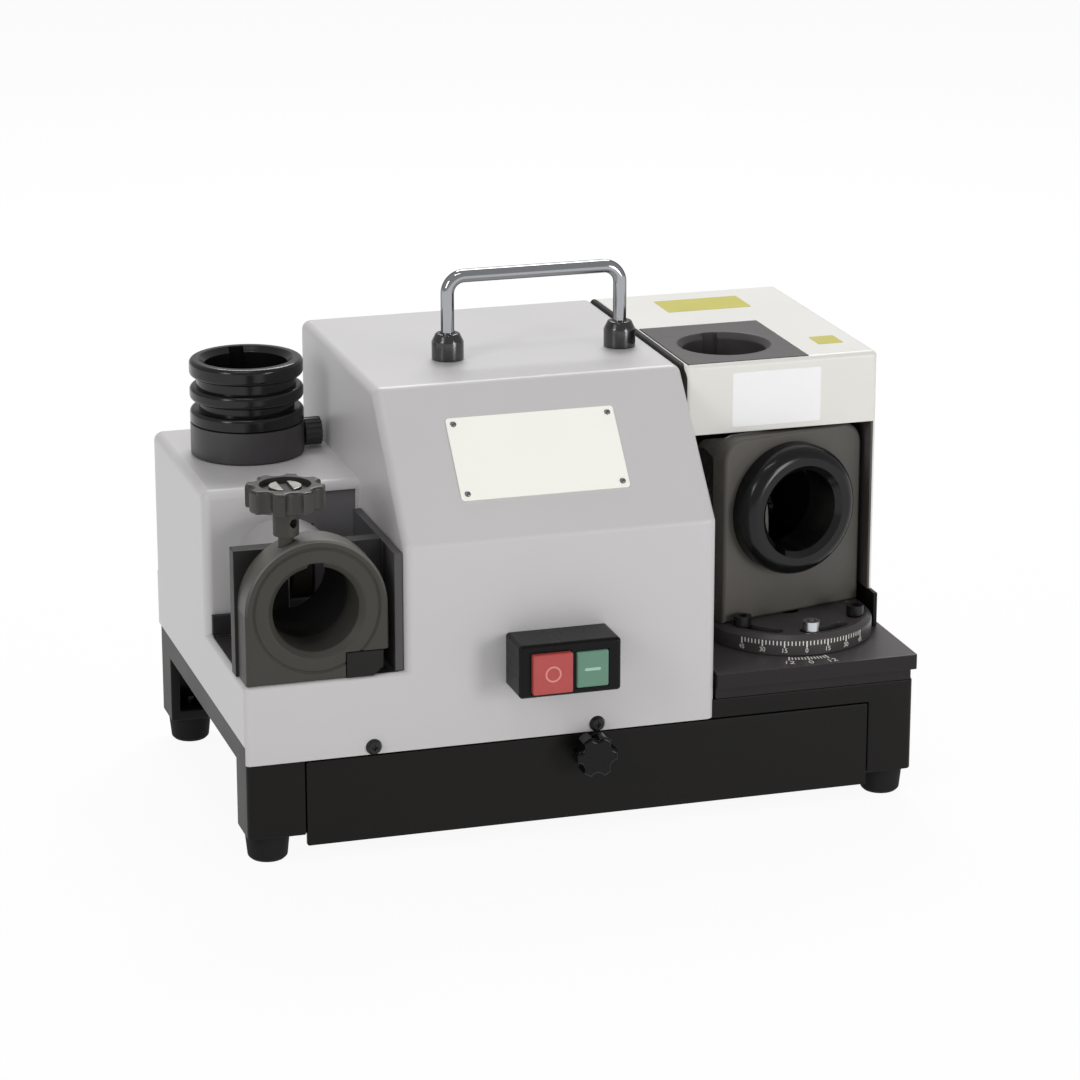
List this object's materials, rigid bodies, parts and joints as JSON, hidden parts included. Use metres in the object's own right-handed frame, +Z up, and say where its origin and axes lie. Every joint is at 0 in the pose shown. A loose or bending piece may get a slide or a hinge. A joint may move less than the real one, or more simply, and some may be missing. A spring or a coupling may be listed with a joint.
{
  "type": "endmill grinder",
  "caption": "Bench grinder for end mills: sheet-metal housing with a carrying handle, bored tool-holder ports, a swivelling port plate, a setting collar and a chip tray.",
  "frame": {"origin": "centre of the machine's bounding box on the bench plane", "axes": "+X to the operator's right, +Y to the back, +Z up"},
  "size_m": [0.36, 0.2582, 0.2755],
  "materials": {
    "black_paint": "satin black paint",
    "silver_paint": "smooth silver grey paint",
    "off_white_paint": "smooth off-white paint",
    "table_paint": "satin dark grey paint",
    "port_grey": "machined and darkened iron",
    "black_oxide": "polished black oxide",
    "bright_steel": "turned bright",
    "dark_screw": "black oxide screws",
    "chrome": "polished chrome",
    "black_gloss_plastic": "glossy black moulding",
    "black_plastic": "fine grained black moulding",
    "red_plastic": "satin red moulding",
    "green_plastic": "satin green moulding",
    "foot_rubber": "matt black rubber",
    "pale_plate": "pale enamelled sheet",
    "brass": "turned brass",
    "bare_aluminium": "cast and machined",
    "motor_iron": "laminated iron",
    "abrasive": "abrasive rim on a light alloy core",
    "grey_plastic": "plain grey moulding"
  },
  "bodies": {
    "frame": {"base_frame": "black_paint", "rubber_feet": "foot_rubber", "foot_screws": "bright_steel", "tray_runners": "black_paint", "main_cover": "silver_paint", "cover_screws": "dark_screw", "handle": "chrome", "handle_ferrules": "black_gloss_plastic", "handle_nuts": "bright_steel", "nameplate": "pale_plate", "nameplate_rivets": "bright_steel", "switch_bezel": "black_plastic", "switch_body": "black_plastic", "port_table": "table_paint", "chamber_plinth": "black_paint", "wheel_cover": "off_white_paint", "chamber_liner": "black_paint", "top_port_plate": "black_paint", "swivel_pivot": "bright_steel", "swivel_clamp_screws": "dark_screw", "left_port_floor": "black_paint", "left_port_block": "port_grey", "left_port_sleeve": "black_oxide", "left_block_screws": "dark_screw", "left_stop_block": "port_grey", "wheel_guard": "black_paint", "setting_seat": "black_oxide", "seat_screws": "dark_screw", "motor_stator": "motor_iron", "motor_left_end": "bare_aluminium", "motor_right_end": "bare_aluminium", "motor_bearings": "bright_steel", "motor_cradle": "bare_aluminium", "run_capacitor": "grey_plastic", "terminal_block": "grey_plastic", "cord_gland": "black_plastic", "gland_locknut": "black_plastic"},
    "tray": {"chip_tray": "black_paint", "tray_knob": "black_plastic"},
    "stop_key": {"stop_button": "red_plastic"},
    "start_key": {"start_button": "green_plastic"},
    "swivel_port": {"swivel_disc": "table_paint", "port_plate": "table_paint", "port_plate_screws": "dark_screw", "port_ring": "black_oxide"},
    "spindle": {"motor_shaft": "bright_steel", "rotor": "motor_iron", "right_wheel": "abrasive", "right_wheel_hub": "bright_steel", "right_wheel_flange": "bright_steel", "right_wheel_nut": "bright_steel", "left_wheel": "abrasive", "left_wheel_hub": "bright_steel", "left_wheel_flange": "bright_steel", "left_wheel_nut": "bright_steel"},
    "clamp_foot": {"clamp_pad": "brass"},
    "clamp_handle": {"clamp_screw": "dark_screw", "clamp_knob": "black_plastic"},
    "setting_ring": {"setting_collar": "black_oxide"},
    "thumb_screw": {"seat_thumb_screw": "bright_steel"}
  },
  "joints": [
    {"name": "tray_slide", "type": "slide", "parent": "frame", "child": "tray", "axis": [0, -1, 0], "range_m": [0, 0.09]},
    {"name": "stop_press", "type": "slide", "parent": "frame", "child": "stop_key", "axis": [0, 1, 0], "range_m": [0, 0.003], "stiffness_N_per_m": 400},
    {"name": "start_press", "type": "slide", "parent": "frame", "child": "start_key", "axis": [0, 1, 0], "range_m": [0, 0.003], "stiffness_N_per_m": 400},
    {"name": "port_swivel", "type": "hinge", "parent": "frame", "child": "swivel_port", "pos_m": [0.129, -0.0429, 0.0786], "axis": [0, 0, 1], "range_deg": [-28.4, 1.6]},
    {"name": "spindle_spin", "type": "hinge", "parent": "frame", "child": "spindle", "pos_m": [0, 0.01312, 0.13], "axis": [1, 0, 0], "continuous": true},
    {"name": "clamp_feed", "type": "slide", "parent": "frame", "child": "clamp_foot", "axis": [0, 0, -1], "range_m": [0, 0.002]},
    {"name": "clamp_turn", "type": "hinge", "parent": "clamp_foot", "child": "clamp_handle", "pos_m": [-0.155, -0.0929, 0.15337], "axis": [0, 0, -1], "range_deg": [0, 480]},
    {"name": "collar_turn", "type": "hinge", "parent": "frame", "child": "setting_ring", "pos_m": [-0.14, 0.0561, 0.1903], "axis": [0, 0, 1], "range_deg": [-60, 60]},
    {"name": "thumb_turn", "type": "hinge", "parent": "frame", "child": "thumb_screw", "pos_m": [-0.11, 0.0561, 0.181], "axis": [1, 0, 0], "range_deg": [-180, 180]}
  ],
  "couplings": [
    {"joint": "clamp_turn", "follows": "clamp_feed", "rad_per_m": 4188.8}
  ]
}
